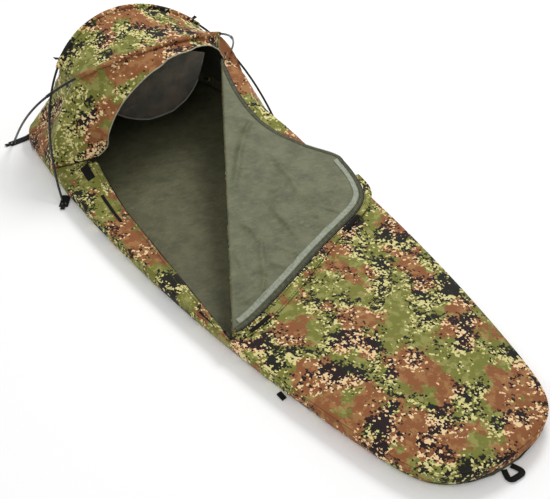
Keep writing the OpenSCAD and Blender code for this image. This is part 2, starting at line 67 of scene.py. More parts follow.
area_light("key_light", (2.3, 1.2, 3.4), 1.6, 92)
area_light("fill_light", (-2.6, -2.2, 3.6), 3.0, 36)
world = bpy.data.worlds.new("studio")
bpy.context.scene.world = world
world.use_nodes = True
world.node_tree.nodes["Background"].inputs["Color"].default_value = (1, 1, 1, 1)
world.node_tree.nodes["Background"].inputs["Strength"].default_value = 0.60


# ---------- material nodes ----------

def srgb(r, g, b):
    return tuple(pow((c / 255 + 0.055) / 1.055, 2.4) if c > 10 else c / 3295 for c in (r, g, b)) + (1.0,)


class Material:
    """A node material round one Principled shader, with short ways to add and join nodes."""

    def __init__(self, name, colour, roughness, **sockets):
        self.mat = bpy.data.materials.new(name)
        self.mat.use_nodes = True
        self.tree = self.mat.node_tree
        self.shader = self.tree.nodes["Principled BSDF"]
        self.set("Base Color", colour)
        self.set("Roughness", roughness)
        for socket, value in sockets.items():
            self.set(socket.replace("_", " "), value)
        self.mat.diffuse_color = colour

    def set(self, socket, value):
        self.plug(self.shader.inputs[socket], value)

    def plug(self, socket, value):
        if isinstance(value, bpy.types.NodeSocket):
            self.tree.links.new(value, socket)
        else:
            socket.default_value = value

    def node(self, kind, out=0, props=None, **inputs):
        n = self.tree.nodes.new("ShaderNode" + kind)
        for key, value in (props or {}).items():
            setattr(n, key, value)
        for key, value in inputs.items():
            numbered = key[0] == "i" and key[1:].isdigit()
            self.plug(n.inputs[int(key[1:]) if numbered else key.replace("_", " ")], value)
        return n.outputs[out]

    def maths(self, op, a, b=0.0, c=0.0):
        return self.node("Math", props={"operation": op}, i0=a, i1=b, i2=c)

    def times(self, a, b, c=0.0):
        """a times b, plus c."""
        return self.maths("MULTIPLY_ADD", a, b, c)

    def vector(self, op, a, b, out=0):
        return self.node("VectorMath", out=out, props={"operation": op}, i0=a, i1=b)

    def mix(self, t, a, b):
        return self.node("Mix", out=2, props={"data_type": "RGBA"}, i0=t, i6=a, i7=b)

    def noise(self, where, scale, detail=2.0, rough=0.5, w=0.0):
        return self.node("TexNoise", props={"noise_dimensions": "4D"}, Vector=where, Scale=scale,
                         Detail=detail, Roughness=rough, W=w)

    def step(self, value, low, high):
        """0 below low, 1 above high, smooth between."""
        return self.node("MapRange", props={"interpolation_type": "SMOOTHSTEP"}, Value=value,
                         From_Min=low, From_Max=high)

    def bump(self, height, strength=0.4, distance=0.001):
        before = self.shader.inputs["Normal"].links
        n = self.tree.nodes.new("ShaderNodeBump")
        n.inputs["Strength"].default_value = strength
        n.inputs["Distance"].default_value = distance
        if before:
            self.tree.links.new(before[0].from_socket, n.inputs["Normal"])
        self.tree.links.new(height, n.inputs["Height"])
        self.tree.links.new(n.outputs[0], self.shader.inputs["Normal"])

    def place(self):
        return self.node("TexCoord", out=3)

    def uv(self, out=None):
        uv = self.node("TexCoord", out=2)
        return uv if out is None else self.node("SeparateXYZ", out=out, Vector=uv)

    def ribs(self, value, pitch):
        """A rounded ripple of the given pitch, 0 to 1."""
        return self.times(self.maths("SINE", self.times(value, math.tau / pitch)), 0.5, 0.5)

    def weave(self, where, pitch=0.0012, strength=0.25):
        """Fine crossed threads."""
        x, y, z = (self.node("SeparateXYZ", out=i, Vector=where) for i in range(3))
        across = self.ribs(self.maths("ADD", x, z), pitch)
        along = self.ribs(self.maths("SUBTRACT", y, z), pitch)
        self.bump(self.times(across, along), strength, 0.0003)

    def stitches(self, colour, base, line=0.005, pitch=0.0055, width=0.0011):
        """Thread dashes that run at a set distance from the edge; U is along it and V is away from it."""
        u, v = self.uv(0), self.uv(1)
        off = self.maths("ABSOLUTE", self.maths("SUBTRACT", v, line))
        on_line = self.maths("LESS_THAN", off, width)
        dash = self.maths("GREATER_THAN", self.ribs(u, pitch), 0.28)
        mask = self.times(on_line, dash)
        self.bump(self.step(off, 0.0, width * 2.5), 0.5, 0.0012)
        return self.mix(mask, base, colour)


GREEN, GREEN_PALE = srgb(117, 118, 51), srgb(143, 142, 78)
BROWN, BROWN_PALE = srgb(138, 86, 50), srgb(157, 112, 68)
DARK_BROWN, DARK_GREEN = srgb(34, 20, 22), srgb(28, 28, 20)
CREAM_WARM, CREAM_COOL = srgb(236, 204, 156), srgb(216, 206, 140)
VISOR_LEFT = (-0.30, 0.70, 0.24)


def camouflage(name, stitched=False):
    """Woven cloth with a broken four-colour print: green and brown grounds, ragged dark and cream clumps."""
    m = Material(name, GREEN, 0.8, Sheen_Weight=0.05, Sheen_Roughness=0.5, Specular_IOR_Level=0.22)
    where = m.place()
    cell = m.node("TexVoronoi", out=2, props={"distance": "MANHATTAN"}, Vector=where, Scale=170.0)
    spray = m.node("TexWhiteNoise", out=0, props={"noise_dimensions": "3D"}, Vector=cell)
    near_visor = m.step(m.vector("DISTANCE", cell, VISOR_LEFT, out=1), 0.26, 0.10)
    ground = m.times(near_visor, -0.11, m.noise(cell, 8.0, 4.0, 0.5, 1.3))
    ground = m.step(m.times(spray, 0.05, ground), 0.52, 0.524)
    clump = m.noise(cell, 11.0, 2.0, 0.5, 6.1)
    splinter = m.noise(cell, 88.0, 1.0, 0.5, 2.2)
    dark_at = m.times(clump, 1.05, m.times(splinter, 0.62, m.times(spray, 0.16)))
    dark_at = m.times(near_visor, -0.07, dark_at)
    dark = m.step(dark_at, 0.985, 0.989)
    beside = m.noise(m.vector("ADD", cell, (0.022, 0.014, 0.0)), 11.0, 2.0, 0.5, 6.1)
    splinter2 = m.noise(cell, 92.0, 1.0, 0.5, 9.4)
    cream_at = m.times(beside, 0.95, m.times(splinter2, 0.70, m.times(spray, -0.16)))
    cream = m.step(cream_at, 0.834, 0.838)
    drift = m.noise(cell, 30.0, 2.0, 0.6, 3.3)
    pale = m.step(drift, 0.50, 0.56)
    base = m.mix(ground, m.mix(pale, GREEN, GREEN_PALE), m.mix(pale, BROWN, BROWN_PALE))
    base = m.mix(cream, base, m.mix(ground, CREAM_COOL, CREAM_WARM))
    base = m.mix(dark, base, m.mix(ground, DARK_GREEN, DARK_BROWN))
    m.bump(m.noise(where, 15.0, 5.0, 0.55, 4.0), 0.85, 0.012)
    m.weave(where)
    if stitched:
        base = m.stitches(srgb(74, 66, 44), base)
    m.set("Base Color", base)
    return m.mat


def lining(name, colour, darker, crease=0.6):
    """Coated cloth: fine crinkles whose raised ridges carry a painted highlight, faint mottling, a dull
    coating.
    """
    m = Material(name, colour, 0.6, Specular_IOR_Level=0.35, Sheen_Weight=0.05)
    where = m.place()
    mottle = m.noise(where, 16.0, 6.0, 0.62, 2.0)
    crinkle = m.noise(m.vector("MULTIPLY", where, (1.0, 2.2, 1.0)), 34.0, 5.0, 0.66, 5.0)
    base = m.mix(m.step(mottle, 0.3, 0.7), darker, colour)
    # Painted highlight: the colour is paler where the crinkle bump is highest.
    base = m.mix(m.step(crinkle, 0.45, 0.8), base, tuple(min(1, c * 1.22) for c in colour[:3]) + (1,))
    m.set("Base Color", base)
    m.set("Roughness", m.node("MapRange", Value=crinkle, To_Min=0.5, To_Max=0.72))
    m.bump(crinkle, crease, 0.005)
    m.weave(where, 0.0009, 0.15)
    return m.mat


def taped(name, colour, darker, roughness=0.5):
    """Narrow woven or heat-sealed tape, ribbed along its length."""
    m = Material(name, colour, roughness, Specular_IOR_Level=0.4)
    where, v = m.place(), m.uv(1)
    worn = m.noise(where, 90.0, 4.0, 0.6)
    m.set("Base Color", m.mix(m.step(worn, 0.3, 0.7), darker, colour))
    m.bump(m.ribs(v, 0.0016), 0.3, 0.0004)
    m.bump(m.noise(where, 55.0, 3.0, 0.6), 0.4, 0.002)
    return m.mat


def webbed(name):
    """Black webbing with a herringbone rib and paler fuzzy flecks."""
    m = Material(name, srgb(16, 17, 13), 0.8, Sheen_Weight=0.06, Sheen_Roughness=0.4, Specular_IOR_Level=0.25)
    u, v, where = m.uv(0), m.uv(1), m.place()
    zig = m.maths("PINGPONG", v, 0.004)
    rib = m.ribs(m.maths("ADD", u, zig), 0.0026)
    # Painted shade: the rib's grooves are coloured darker than its raised tops.
    base = m.mix(rib, srgb(9, 10, 7), srgb(24, 26, 20))
    base = m.mix(m.step(m.noise(where, 160.0, 3.0, 0.6), 0.55, 0.8), base, srgb(40, 42, 33))
    m.set("Base Color", base)
    m.bump(rib, 0.6, 0.0005)
    return m.mat


def hooked(name):
    """Hook and loop tape: a dense pile of tiny hooks."""
    m = Material(name, srgb(12, 12, 10), 0.9, Sheen_Weight=0.05, Specular_IOR_Level=0.2)
    where = m.place()
    dots = m.node("TexVoronoi", Vector=where, Scale=900.0)
    m.set("Base Color", m.mix(m.step(dots, 0.1, 0.6), srgb(24, 22, 18), srgb(7, 7, 6)))
    m.bump(dots, 0.8, 0.0006)
    return m.mat


def hard(name, colour, worn, roughness, metallic=0.0):
    """Plastic or metal with light scuffs, which are rougher and paler."""
    m = Material(name, colour, roughness, Metallic=metallic, Specular_IOR_Level=0.5)
    where = m.place()
    scuff = m.step(m.noise(m.vector("MULTIPLY", where, (1.0, 0.4, 1.0)), 260.0, 5.0, 0.7), 0.58, 0.72)
    m.set("Base Color", m.mix(scuff, colour, worn))
    m.set("Roughness", m.node("MapRange", Value=scuff, To_Min=roughness, To_Max=min(1.0, roughness + 0.25)))
    m.bump(m.noise(where, 400.0, 3.0, 0.5), 0.15, 0.0004)
    return m.mat


def netting(name):
    """Fine insect mesh, partly see-through, with a thread grid."""
    m = Material(name, srgb(92, 86, 72), 0.8, Sheen_Weight=0.2)
    u, v, where = m.uv(0), m.uv(1), m.place()
    thread = m.maths("MAXIMUM", m.ribs(u, 0.0016), m.ribs(v, 0.0016))
    cloudy = m.noise(where, 12.0, 4.0, 0.6)
    m.set("Base Color", m.mix(m.step(cloudy, 0.35, 0.7), srgb(74, 72, 62), srgb(106, 96, 80)))
    m.set("Alpha", m.node("MapRange", Value=thread, To_Min=0.5, To_Max=0.82))
    m.bump(thread, 0.3, 0.0004)
    return m.mat


M = {
    "camo": camouflage("camouflage_print"),
    "camo_sewn": camouflage("camouflage_print_sewn", stitched=True),
    "lining": lining("coated_lining_door", srgb(108, 110, 82), srgb(84, 87, 63), 1.0),
    "floor": lining("coated_lining_floor", srgb(102, 101, 73), srgb(80, 80, 57), 0.9),
    # The hood's lining is a darker copy of the lining cloth: its darkness is painted shade for the inside of
    # the hood and the underside of the cover.
    "hood_lining_painted_shade": lining("coated_lining_hood_painted_shade", srgb(60, 60, 48), srgb(42, 42, 34)),
    "under": lining("coated_underside", srgb(60, 62, 46), srgb(44, 46, 34)),
    "seam_tape": taped("heat_sealed_tape", srgb(138, 143, 121), srgb(108, 113, 92), 0.4),
    "binding": taped("edge_binding", srgb(176, 174, 150), srgb(140, 138, 112)),
    "grey_binding": taped("net_binding_tape", srgb(138, 136, 124), srgb(112, 110, 98)),
    "zip_tape": taped("zip_tape_olive", srgb(86, 88, 64), srgb(54, 56, 39), 0.8),
    "coil": hard("zip_coil_nylon", srgb(20, 21, 15), srgb(40, 41, 31), 0.45),
    "webbing": webbed("webbing_black"),
    "hook": hooked("hook_tape_black"),
    "pole": hard("pole_tube_black", srgb(9, 10, 9), srgb(38, 40, 36), 0.24),
    "ferrule": hard("pole_ferrule", srgb(24, 26, 25), srgb(70, 72, 70), 0.35, 0.4),
    "plastic": hard("pole_tip_plastic", srgb(9, 9, 9), srgb(34, 34, 31), 0.5),
    "eyelet": hard("eyelet_nickel", srgb(196, 196, 190), srgb(150, 148, 140), 0.25, 1.0),
    "zip_metal": hard("zip_metal_dark", srgb(58, 58, 54), srgb(120, 118, 110), 0.32, 0.9),
    "cord": taped("shock_cord_braid", srgb(214, 212, 202), srgb(150, 148, 140), 0.7),
    "net": netting("insect_mesh_fine"),
}


# ---------- numbers, noise and meshes ----------

def mix(a, b, t):
    return a + (b - a) * t


def smooth(low, high, x):
    t = np.clip((np.asarray(x, float) - low) / (high - low), 0, 1)
    return t * t * (3 - 2 * t)


def unit(v):
    v = np.asarray(v, float)
    return v / np.maximum(np.linalg.norm(v, axis=-1, keepdims=True), 1e-12)


def lattice(cells, seed):
    """A fixed number from -1 to 1 for each whole-number cell."""
    h = np.full(cells.shape[:-1], seed * 7919 + 17, np.int64)
    for k, prime in zip(range(cells.shape[-1]), (374761393, 668265263, 1442695041)):
        h = (h ^ (cells[..., k] * prime)) & 0xFFFFFFFF
        h = (h * 1103515245 + 12345 + (h >> 15)) & 0xFFFFFFFF
        h = h ^ (h >> 13)
    return (h & 0xFFFFF) / 524287.5 - 1


def ripple(p, scale, seed=0, octaves=1):
    """Smooth value noise over points; scale is cells per metre, one number or one an axis."""
    total, size = 0.0, 0.0
    for o in range(octaves):
        q = np.asarray(p, float) * (np.asarray(scale, float) * 2.03 ** o) + 11.7 * o
        whole = np.floor(q).astype(np.int64)
        part = q - whole
        part = part * part * part * (part * (part * 6 - 15) + 10)
        value = 0.0
        for corner in np.ndindex(*(2,) * q.shape[-1]):
            weight = np.prod([part[..., k] if c else 1 - part[..., k] for k, c in enumerate(corner)], axis=0)
            value += weight * lattice(whole + np.array(corner), seed + 31 * o)
        total, size = total + value * 0.5 ** o, size + 0.5 ** o
    return total / size


def crease(p, scale, seed, sharp):
    """Narrow raised lines where the noise crosses zero, 0 to 1."""
    return np.exp(-sharp * np.abs(ripple(p, scale, seed)) * 2.2)


def slanted(p, a, b, c, d):
    """Points on slanted axes, for folds that run at an angle."""
    return p @ np.array([[a, b], [c, d]])


def through(points, n):
    """A smooth curve through points, n steps to a span."""
    p = np.array(points, float)
    out = []
    for i in range(len(p) - 1):
        a, b, c, d = p[max(i - 1, 0)], p[i], p[i + 1], p[min(i + 2, len(p) - 1)]
        for k in range(n):
            t = k / n
            out.append(0.5 * (2 * b + (c - a) * t + (2 * a - 5 * b + 4 * c - d) * t * t
                              + (3 * b - a - 3 * c + d) * t ** 3))
    return np.array(out + [p[-1]])


def lengths(line):
    return np.concatenate([[0], np.cumsum(np.linalg.norm(np.diff(line, axis=0), axis=1))])


def pick(line, want, at=None):
    """Points of a line at the places wanted, counted in its own steps or in at."""
    at = np.arange(len(line)) if at is None else at
    return np.stack([np.interp(want, at, line[:, k]) for k in range(line.shape[1])], -1)


def spaced(line, n):
    """n points an even distance apart along a line."""
    line = np.asarray(line, float)
    at = lengths(line)
    return pick(line, np.linspace(0, at[-1], n), at)


def tangents(line, closed=False):
    if closed:
        return unit(np.roll(line, -1, 0) - np.roll(line, 1, 0))
    return unit(np.gradient(line, axis=0))


def grid_normals(grid, closed=False):
    rows = np.gradient(grid, axis=0)
    cols = (np.roll(grid, -1, 1) - np.roll(grid, 1, 1)) / 2 if closed else np.gradient(grid, axis=1)
    return unit(np.cross(cols, rows))


def finish_piece(name, verts, faces, face_mats, materials, uvs, body, nodes, smooth_faces=True):
    mesh = bpy.data.meshes.new(name)
    mesh.from_pydata(np.asarray(verts, float).tolist(), [], faces)
    for m in materials:
        mesh.materials.append(M[m])
    mesh.polygons.foreach_set("material_index", np.asarray(face_mats, np.int32))
    mesh.polygons.foreach_set("use_smooth", np.full(len(faces), smooth_faces))
    layer = mesh.uv_layers.new(name="UVMap")
    loops = np.empty(len(mesh.loops), np.int32)
    mesh.loops.foreach_get("vertex_index", loops)
    layer.data.foreach_set("uv", np.asarray(uvs, np.float32)[loops].ravel())
    mesh.update()
    obj = bpy.data.objects.new(name, mesh)
    bpy.context.scene.collection.objects.link(obj)
    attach(obj, body)
    if nodes:
        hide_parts(*([nodes] if isinstance(nodes, str) else nodes))
    return obj


def cloth(name, grid, mats, body=BAG, nodes=(), t=0.0011, out=(0, 0, 1), closed=False,
          heart=None, uvs=None, lengthwise=False):
    """A thin closed shell of cloth over a grid of points. The first material is on the side that faces out, or
    away from heart, and the second behind it. UVs are metres along the columns and, across, from the nearest
    edge; with lengthwise it is the rows that run along."""
    grid = np.asarray(grid, float)
    n = grid.shape[0] * grid.shape[1]
    normal = grid_normals(grid, closed)
    facing = np.asarray(out, float) if heart is None else grid - np.asarray(heart)
    if (normal * facing).sum() < 0:
        grid = grid[::-1]
        uvs = None if uvs is None else uvs[::-1]
        normal = grid_normals(grid, closed)
    if uvs is None:
        along = np.cumsum(np.linalg.norm(np.diff(grid, axis=1, prepend=grid[:, :1]), axis=-1), axis=1)
        down = np.cumsum(np.linalg.norm(np.diff(grid, axis=0, prepend=grid[:1]), axis=-1), axis=0)
        if lengthwise:
            uvs = np.stack([down, np.minimum(along, along[:, -1:] - along)], -1)
        else:
            uvs = np.stack([along, np.minimum(down, down[-1:] - down)], -1)
    index = np.arange(n).reshape(grid.shape[:2])
    right = np.roll(index, -1, 1) if closed else index[:, 1:]
    left = index if closed else index[:, :-1]
    quads = np.stack([left[:-1], right[:-1], right[1:], left[1:]], -1).reshape(-1, 4)
    rim = [np.stack([left[0], right[0]], -1)[:, ::-1], np.stack([left[-1], right[-1]], -1)]
    if not closed:
        rim += [np.stack([index[:-1, 0], index[1:, 0]], -1), np.stack([index[1:, -1], index[:-1, -1]], -1)]
    rim = np.concatenate(rim)
    sides = np.stack([rim[:, 0], rim[:, 1], rim[:, 1] + n, rim[:, 0] + n], -1)
    faces = np.concatenate([quads, quads[:, [0, 3, 2, 1]] + n, sides])
    face_mats = np.concatenate([np.zeros(len(quads)), np.ones(len(quads)), np.zeros(len(sides))])
    verts = np.concatenate([grid.reshape(-1, 3), (grid - t * normal).reshape(-1, 3)])
    flat = uvs.reshape(-1, 2)
    return finish_piece(name, verts, faces.tolist(), face_mats, mats if len(mats) == 2 else mats * 2,
                        np.concatenate([flat, flat]), body, nodes)


def tube(name, line, radius, mat, body=BAG, nodes=(), sides=8, side=(0, 0, 1)):
    """A round tube along a line, closed at its ends."""
    line = np.asarray(line, float)
    t = tangents(line)
    a = unit(np.asarray(side, float) - t * (t @ np.asarray(side, float))[:, None])
    b = np.cross(t, a)
    angle = np.linspace(0, math.tau, sides, endpoint=False)
    r = np.broadcast_to(np.asarray(radius, float), (len(line),))[:, None, None]
    ring = np.cos(angle)[None, :, None] * a[:, None] + np.sin(angle)[None, :, None] * b[:, None]
    verts = (line[:, None] + r * ring).reshape(-1, 3)
    index = np.arange(len(verts)).reshape(len(line), sides)
    low, high = index[:-1], index[1:]
    faces = np.stack([low, np.roll(low, -1, 1), np.roll(high, -1, 1), high], -1).reshape(-1, 4).tolist()
    faces += [index[0][::-1].tolist(), index[-1].tolist()]
    u = np.repeat(lengths(line), sides)
    v = np.tile(angle * float(np.mean(radius)), len(line))
    finish_piece(name, verts, faces, np.zeros(len(faces)), [mat], np.stack([u, v], -1), body, nodes)


def webbing(name, line, across, width, nodes, t, body=BAG, cols=5, narrow=1.0):
    """A flat strip of webbing along a line; narrow is its share of the full width."""
    across = np.broadcast_to(np.asarray(across, float), line.shape)
    share = np.linspace(-0.5, 0.5, cols)
    wide = share * width * np.broadcast_to(narrow, (len(line),))[:, None]
    u = np.repeat(lengths(line)[:, None], cols, 1)
    v = np.repeat(((share + 0.5) * width)[None], len(line), 0)
    cloth(name, line[:, None] + across[:, None] * wide[..., None], ["webbing"], body, nodes, t,
          uvs=np.stack([u, v], -1))


def teeth(name, centres, up, size, body, node):
    """The teeth of a zip: many small bevelled blocks in one piece."""
    up = np.asarray(up, float)
    forward = tangents(centres)
    across = unit(np.cross(up, forward))
    corner = np.array([(-1, -1, -1), (1, -1, -1), (1, 1, -1), (-1, 1, -1), (-0.6, -0.8, 1), (0.6, -0.8, 1),
                       (0.6, 0.8, 1), (-0.6, 0.8, 1)], float) * np.asarray(size) / 2
    verts = (centres[:, None] + corner[None, :, :1] * forward[:, None] + corner[None, :, 1:2] * across[:, None]
             + corner[None, :, 2:] * up).reshape(-1, 3)
    box = np.array([(3, 2, 1, 0), (4, 5, 6, 7), (0, 1, 5, 4), (1, 2, 6, 5), (2, 3, 7, 6), (3, 0, 4, 7)])
    faces = (np.arange(len(centres))[:, None, None] * 8 + box[None]).reshape(-1, 4).tolist()
    finish_piece(name, verts, faces, np.zeros(len(faces)), ["coil"], verts[:, :2], body, node,
                 smooth_faces=False)


# ---------- the shape of the bag ----------

HALF = 1.16
WALL = 0.057
TOP = 0.059


def full_w(y):
    """Half the bag's width, were its ends not rounded."""
    return 0.42 + 0.078017 * y - 0.0821 * y * y


def half_w(y):
    y = np.asarray(y, float)
    return full_w(y) * np.sqrt(np.clip(1 - (np.abs(y) / HALF) ** 24, 0, 1))


FOOT = np.array([-0.360, -0.375, 0.062])
HEAD = np.array([0.300, 0.726, 0.297])
FOLD_LENGTH = float(np.linalg.norm(HEAD - FOOT))
ALONG = unit(HEAD - FOOT)
LEVEL = unit(np.cross(ALONG, (0, 0, 1)))
RISE = np.cross(LEVEL, ALONG)
TILT = math.radians(12)
OUT = math.cos(TILT) * LEVEL - math.sin(TILT) * RISE
UP = np.cross(OUT, ALONG)


def door_plane(x, y):
    return FOOT[2] - (UP[0] * (x - FOOT[0]) + UP[1] * (y - FOOT[1])) / UP[2]


def fold_x(y):
    return mix(FOOT[0], HEAD[0], (y - FOOT[1]) / (HEAD[1] - FOOT[1]))


def round_fold(radius, degrees):
    """Offsets from the fold line to points round it: 0 degrees is out and 90 is up."""
    turn = np.radians(degrees)[:, None]
    return radius * (np.cos(turn) * OUT + np.sin(turn) * UP)


def in_door(u, v, w):
    """A point in the folded door: u along the fold, v out from it, w above its plane."""
    u, v, w = (np.asarray(a, float)[..., None] for a in (u, v, w))
    return FOOT + u * ALONG + v * OUT + w * UP


EDGE_PTS = np.array([
    (0.006, 0), (0.040, 0.044), (0.122, 0.113), (0.255, 0.214), (0.346, 0.280), (0.430, 0.345), (0.500, 0.402),
    (0.559, 0.448), (0.602, 0.473), (0.646, 0.485), (0.690, 0.481), (0.742, 0.465), (0.802, 0.434),
    (0.842, 0.400), (0.880, 0.275), (0.960, 0.145), (1.102, 0.060), (FOLD_LENGTH - 0.008, 0)])
EDGE = spaced(through(EDGE_PTS, 12), 300)


def edge_out(u):
    """How far out the door's edge is at u."""
    return np.interp(u, EDGE[:, 0], EDGE[:, 1], left=0.0, right=0.0)


def outline(n, inset=0.0):
    """n points evenly round the bag, anticlockwise from the middle of the toe."""
    side = HALF * np.sin(np.linspace(-math.pi / 2, math.pi / 2, 1500))
    right = np.stack([half_w(side), side], -1)
    loop = np.concatenate([right, (right * (-1, 1))[::-1]])
    loop = spaced(loop, n + 1)[:-1]
    t = tangents(loop, closed=True)
    return loop - inset * np.stack([t[:, 1], -t[:, 0]], -1)


# ---------- floor, walls and cover ----------

def drawn_in(p):
    """The open door's weight draws the right side in a little, more at its top than at the ground."""
    amount = 0.033 * smooth(0.63, 0.50, p[..., 1]) * smooth(0.05, 0.25, p[..., 1])
    edge = np.clip(p[..., 0] / np.maximum(half_w(p[..., 1]), 1e-3), 0, 1) ** 4
    p[..., 0] -= amount * edge * mix(0.35, 1.0, np.clip(p[..., 2] / WALL, 0, 1))
    return p


def floor_grid():
    rows = 110
    y = (HALF - 0.004) * np.sin(np.linspace(-math.pi / 2, math.pi / 2, rows))
    y = mix(y, np.linspace(-1, 1, rows) * (HALF - 0.004), 0.6)
    s = np.linspace(-1, 1, 44)
    x = s[None] * (half_w(y) - 0.0045)[:, None]
    yy = np.repeat(y[:, None], len(s), 1)
    p = np.stack([x, yy], -1)
    rise = 0.0035 + 0.011 * (np.abs(s)[None] ** 10)
    folds = 0.0035 * np.maximum(0, ripple(p, (9, 5), 3, 3))
    folds += 0.004 * crease(p, (5, 2.4), 8, 4) * (ripple(p, 3, 5) > -0.2)
    folds += 0.003 * crease(slanted(p, 0.8, 0.5, -0.6, 0.86), (7, 3), 12, 5)
    return drawn_in(np.concatenate([p, (rise + folds * (1 - np.abs(s)[None] ** 6) + 0.0005)[..., None]], -1))


floor = floor_grid()
FLOOR = cloth("floor_lining", floor, ["floor", "under"], nodes="groundsheet", t=0.0014)


AROUND = 5.9


def wall_grid():
    n = 520
    loop = outline(n)
    t = tangents(loop, closed=True)
    outward = np.stack([t[:, 1], -t[:, 0]], -1)
    turn = np.linspace(0, AROUND, n, endpoint=False) / AROUND * math.tau
    ring = np.stack([np.cos(turn), np.sin(turn)], -1) * 0.94
    rows = []
    for h in np.linspace(1, 0, 10):
        bulge = 0.0045 * math.sin(math.pi * h) - 0.013 * (1 - h) ** 2.2
        soft = 0.0035 * ripple(ring, 14, 4, 2) * math.sin(math.pi * h) ** 0.8
        pucker = 0.0016 * ripple(ring, 46, 9) * h * (1 - h) * 4
        edge = bulge + soft + pucker
        by_loop = smooth(0.09, 0.035, np.hypot(loop[:, 0], loop[:, 1] + HALF))
        edge = mix(edge, np.minimum(edge, -0.0006), by_loop)
        z = mix(0.0012, WALL, h) + 0.003 * ripple(ring, 9, 2) * h * (1 - h)
        rows.append(np.concatenate([loop + outward * edge[:, None], z[:, None]], -1))
    return drawn_in(np.array(rows))


walls = wall_grid()
WALLS = cloth("boxing_walls", walls, ["camo", "floor"], closed=True, heart=(0, 0, 0.03),
              nodes=("left_wall", "right_wall", "toe_wall", "head_wall"))


def clear_of_door(x, y, margin=0.03, over=0.12):
    """0 under the folded door and its strip, rising to 1 further out."""
    p = np.stack([x - FOOT[0], y - FOOT[1]], -1)
    u = p @ ALONG[:2] / (ALONG[:2] @ ALONG[:2]) * 0.98
    v = p @ unit(LEVEL[:2])
    return smooth(0, over, np.maximum(v - edge_out(u) - margin, -u - 0.06))


def cover_grid():
    y = np.concatenate([np.linspace(0.735, -0.375, 96), np.linspace(-0.385, -0.9, 46),
                        -0.9 - (HALF - 0.9015) * np.sin(np.linspace(0, math.pi / 2, 31)[1:])])
    cols = 72
    grid = np.zeros((len(y), cols, 3))
    hem = round_fold(0.0074, [232, 242, 252, 261, 270])
    s = np.linspace(0, 1, cols - len(hem))
    for i, v in enumerate(y):
        wide = float(half_w(v))
        if v >= FOOT[1]:
            axis = np.array([fold_x(v), v, door_plane(fold_x(v), v)])
            grid[i, :5] = axis + hem
            x = mix(axis[0] + 0.012, wide, s)
            steep = mix(1.25, 2.1, float(smooth(0.50, 0.66, v)))
            lift = np.clip(np.minimum(door_plane(x, v) - 0.0085 - TOP, steep * (wide - x)), 0, None)
        else:
            x = mix(-wide + 0.006, wide, s)
            lift = 0.0
            grid[i, :5, 0] = np.linspace(-wide, -wide + 0.005, 5)
            grid[i, :5, 1], grid[i, :5, 2] = v, TOP
        grid[i, 5:, 0], grid[i, 5:, 1], grid[i, 5:, 2] = x, v, TOP + lift
    x, yy = grid[..., 0], grid[..., 1]
    wide = np.maximum(half_w(yy), 1e-3)
    side = np.clip(1 - (x / wide) ** 6, 0, 1) * smooth(0, 0.05, HALF - np.abs(yy))
    free = clear_of_door(x, yy) * side
    p = np.stack([x, yy], -1)
    crown = 0.010 * np.clip(1 - (x / wide) ** 2, 0, 1) * smooth(-0.42, -0.62, yy)
    swell = 0.0085 * ripple(p, (5.5, 4), 21, 2)
    swell += 0.0056 * ripple(slanted(p, 0.7, 0.7, -0.7, 0.7), (15, 6), 5, 2)
    folds = 0.008 * crease(slanted(p, 0.9, -0.45, 0.45, 0.9), (4.2, 1.9), 30, 5)
    folds *= smooth(-0.1, 0.5, ripple(p, 3.3, 6))
    across = crease(slanted(p, 0.4, 0.9, -0.9, 0.4), (5.5, 2.2), 44, 6)
    folds += 0.006 * across * smooth(0, 0.6, ripple(p, 4, 16))
    to_seam = wide - np.abs(x)
    pucker = 0.0024 * ripple(p, 40, 7) * smooth(0.12, 0.0, to_seam) * smooth(0.001, 0.01, to_seam)
    grid[..., 2] += free * (crown + swell + folds + 0.004) + clear_of_door(x, yy) * pucker
    return drawn_in(grid)


cover = cover_grid()
COVER = cloth("cover_cloth", cover, ["camo", "hood_lining_painted_shade"], nodes="top_cover")


def zip_x(y):
    y = np.asarray(y, float)
    return -0.349 - 0.0568 * (0.367 - np.minimum(y, 0.367)) + 0.12 * np.maximum(0, y - 0.367)


def zip_z(y):
    return TOP + 0.040 * (np.maximum(0, (np.asarray(y, float) - 0.3) / 0.34)) ** 2


ZIP_TOP, BORDER_END = 0.636, 0.742


def border_z(x, y):
    return mix(TOP, zip_z(y), ((x + half_w(y)) / (zip_x(y) + half_w(y))) ** 2)


def border_grid():
    y = np.linspace(BORDER_END, FOOT[1] - 0.004, 150)
    s = np.linspace(0, 1, 12)
    past = mix(float(zip_x(ZIP_TOP)) + 0.001, -half_w(y) + 0.006, np.clip((y - ZIP_TOP) / 0.104, 0, 1) ** 3)
    inner = np.where(y <= ZIP_TOP, zip_x(np.minimum(y, ZIP_TOP)) + 0.001, past)
    x = mix(-half_w(y)[:, None], inner[:, None], s[None])
    yy = np.repeat(y[:, None], len(s), 1)
    z = border_z(x, np.minimum(yy, ZIP_TOP)) + 0.0010 - np.where(yy > ZIP_TOP, 0.006, 0) * s ** 2
    p = np.stack([x, yy], -1)
    waves = 0.0030 * ripple(p, (16, 11), 3, 2) + 0.0022 * ripple(p, (10, 34), 13)
    z += waves * np.sin(math.pi * s) ** 0.7 + 0.0012
    return np.stack([x, yy, z], -1)


border = border_grid()
BORDER = cloth("side_border", border, ["camo_sewn", "floor"], nodes="left_border", lengthwise=True)


def along_zip(lift, across, n=260, top=ZIP_TOP):
    y = np.linspace(FOOT[1] + 0.002, top, n)
    return np.stack([zip_x(y) + across, y, zip_z(y) + lift], -1)


